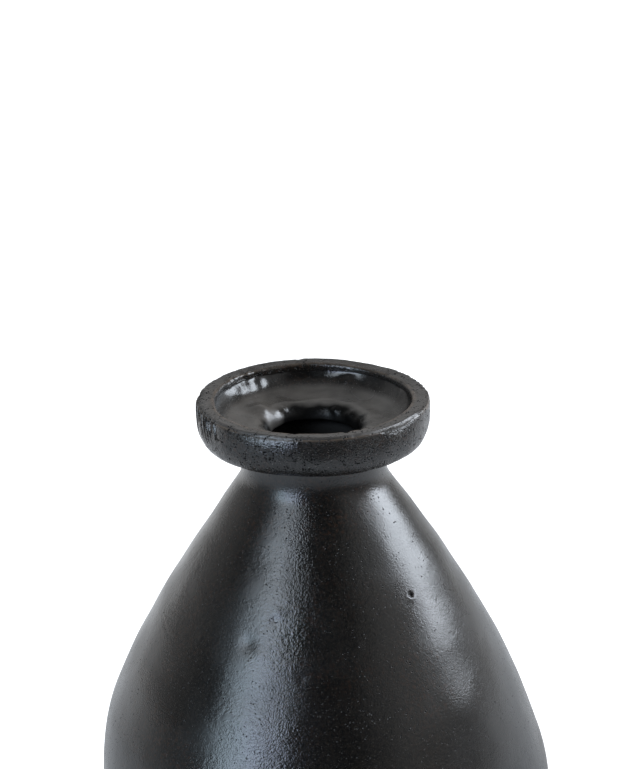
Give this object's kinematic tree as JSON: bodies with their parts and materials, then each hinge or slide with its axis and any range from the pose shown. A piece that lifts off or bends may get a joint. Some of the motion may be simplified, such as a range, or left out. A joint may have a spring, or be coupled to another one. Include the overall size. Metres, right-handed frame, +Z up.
{
  "type": "black clay pot",
  "caption": "Hand-built black clay pot with a wide low belly, tall conical shoulder, short narrow neck and a thick collar around a dished mouth.",
  "frame": {"origin": "centre of the foot, on the surface the pot stands on", "axes": "+Z up along the pot's axis; the pot is round, so +X and +Y are free, and -Y is the side the picture shows"},
  "size_m": [0.195, 0.195, 0.255],
  "materials": {
    "burnished_black_clay": "smoke-fired black clay, burnished to a satin metallic sheen, fine sandy grain",
    "pitted_black_clay": "smoke-fired black clay, smoothed by hand, fine open pits and tool marks"
  },
  "bodies": {
    "root": {"base_bowl": "burnished_black_clay", "wall_coil_1": "burnished_black_clay", "wall_coil_2": "burnished_black_clay", "wall_coil_3": "burnished_black_clay", "wall_coil_4": "burnished_black_clay", "wall_coil_5": "burnished_black_clay", "wall_coil_6": "burnished_black_clay", "wall_coil_7": "burnished_black_clay", "wall_coil_8": "burnished_black_clay", "neck_coil": "burnished_black_clay", "mouth_dish": "pitted_black_clay", "rim_coil": "pitted_black_clay"}
  },
  "joints": []
}
